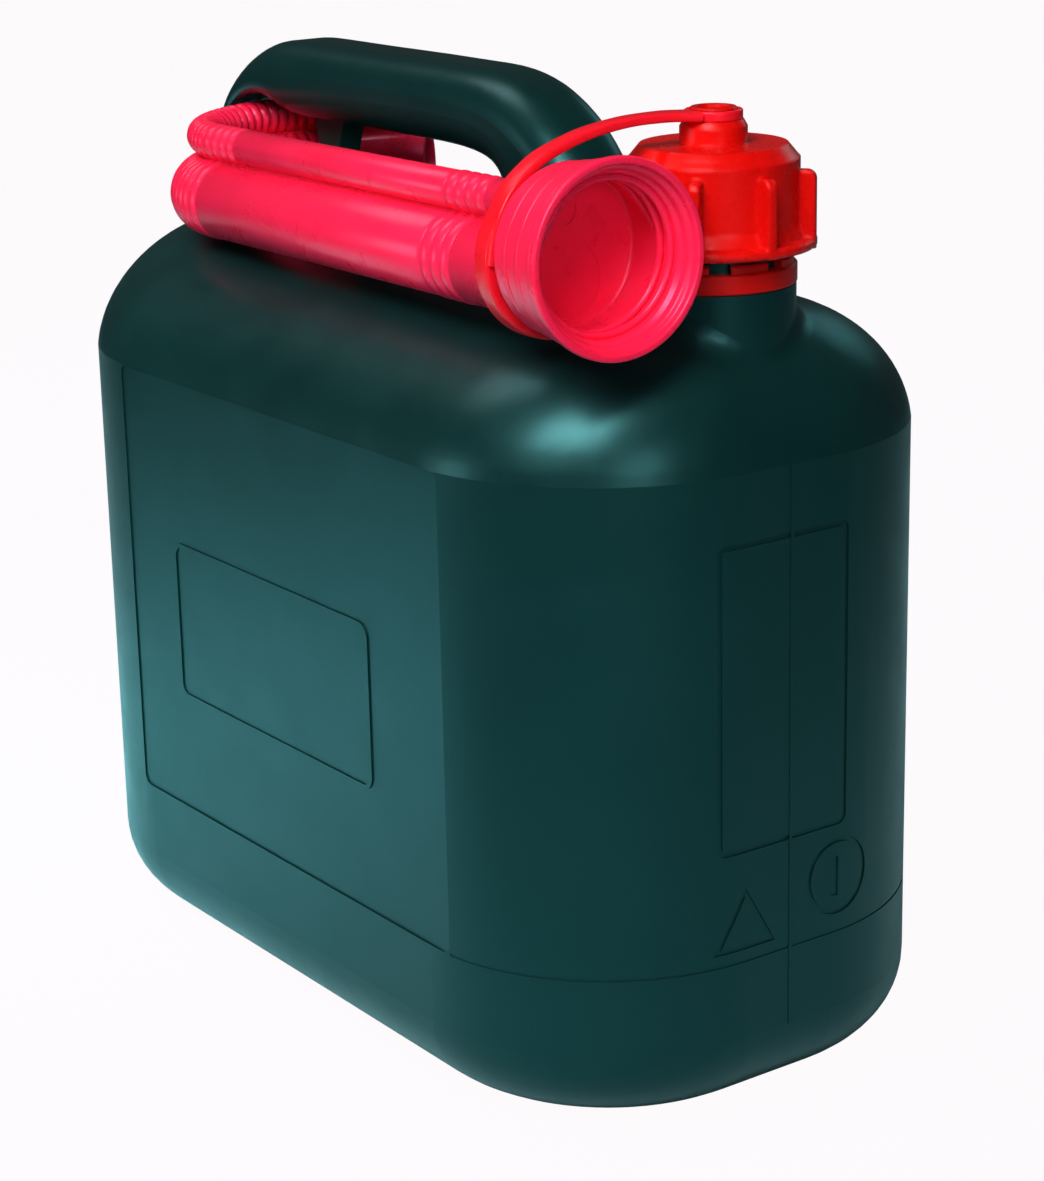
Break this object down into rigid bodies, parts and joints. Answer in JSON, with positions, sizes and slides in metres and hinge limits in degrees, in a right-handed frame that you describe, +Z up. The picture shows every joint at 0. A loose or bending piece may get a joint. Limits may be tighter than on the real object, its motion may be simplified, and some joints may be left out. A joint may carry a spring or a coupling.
{
  "type": "fuel can",
  "caption": "Blow-moulded plastic fuel can with a hollow carrying handle, screw cap, tether strap and flexible pouring spout stowed along the handle.",
  "frame": {"origin": "middle of the can's base, on the ground", "axes": "+X along the can towards the neck, -Y the side on which the spout is stowed, +Z up"},
  "size_m": [0.2634, 0.137, 0.245],
  "materials": {
    "can_plastic": "dark blue-green moulded polyethylene, satin to semi-gloss",
    "cap_plastic": "bright red moulded polyethylene, semi-gloss",
    "strap_plastic": "bright red soft plastic, satin",
    "spout_plastic": "coral red soft plastic, satin",
    "gasket_rubber": "matt black rubber"
  },
  "bodies": {
    "can": {"can_body": "can_plastic"},
    "ring": {"neck_ring": "cap_plastic"},
    "lift": {"cap_strap": "strap_plastic"},
    "cap": {"screw_cap": "cap_plastic", "cap_gasket": "gasket_rubber"},
    "spout": {"spout": "spout_plastic"}
  },
  "joints": [
    {"name": "ring_spin", "type": "hinge", "parent": "can", "child": "ring", "pos_m": [0.1028, 0, 0.205], "axis": [0, 0, 1], "continuous": true},
    {"name": "cap_lift", "type": "slide", "parent": "can", "child": "lift", "axis": [0, 0, 1], "range_m": [0, 0.009], "deforming": ["cap_strap"]},
    {"name": "cap_turn", "type": "hinge", "parent": "lift", "child": "cap", "pos_m": [0.1028, 0, 0.22], "axis": [0, 0, 1], "range_deg": [0, 810]},
    {"name": "spout_slide", "type": "slide", "parent": "can", "child": "spout", "axis": [0.9982, -0.0546, 0.0236], "range_m": [0, 0.01]}
  ],
  "couplings": [
    {"joint": "cap_lift", "follows": "cap_turn", "m_per_rad": 0.00063662}
  ]
}
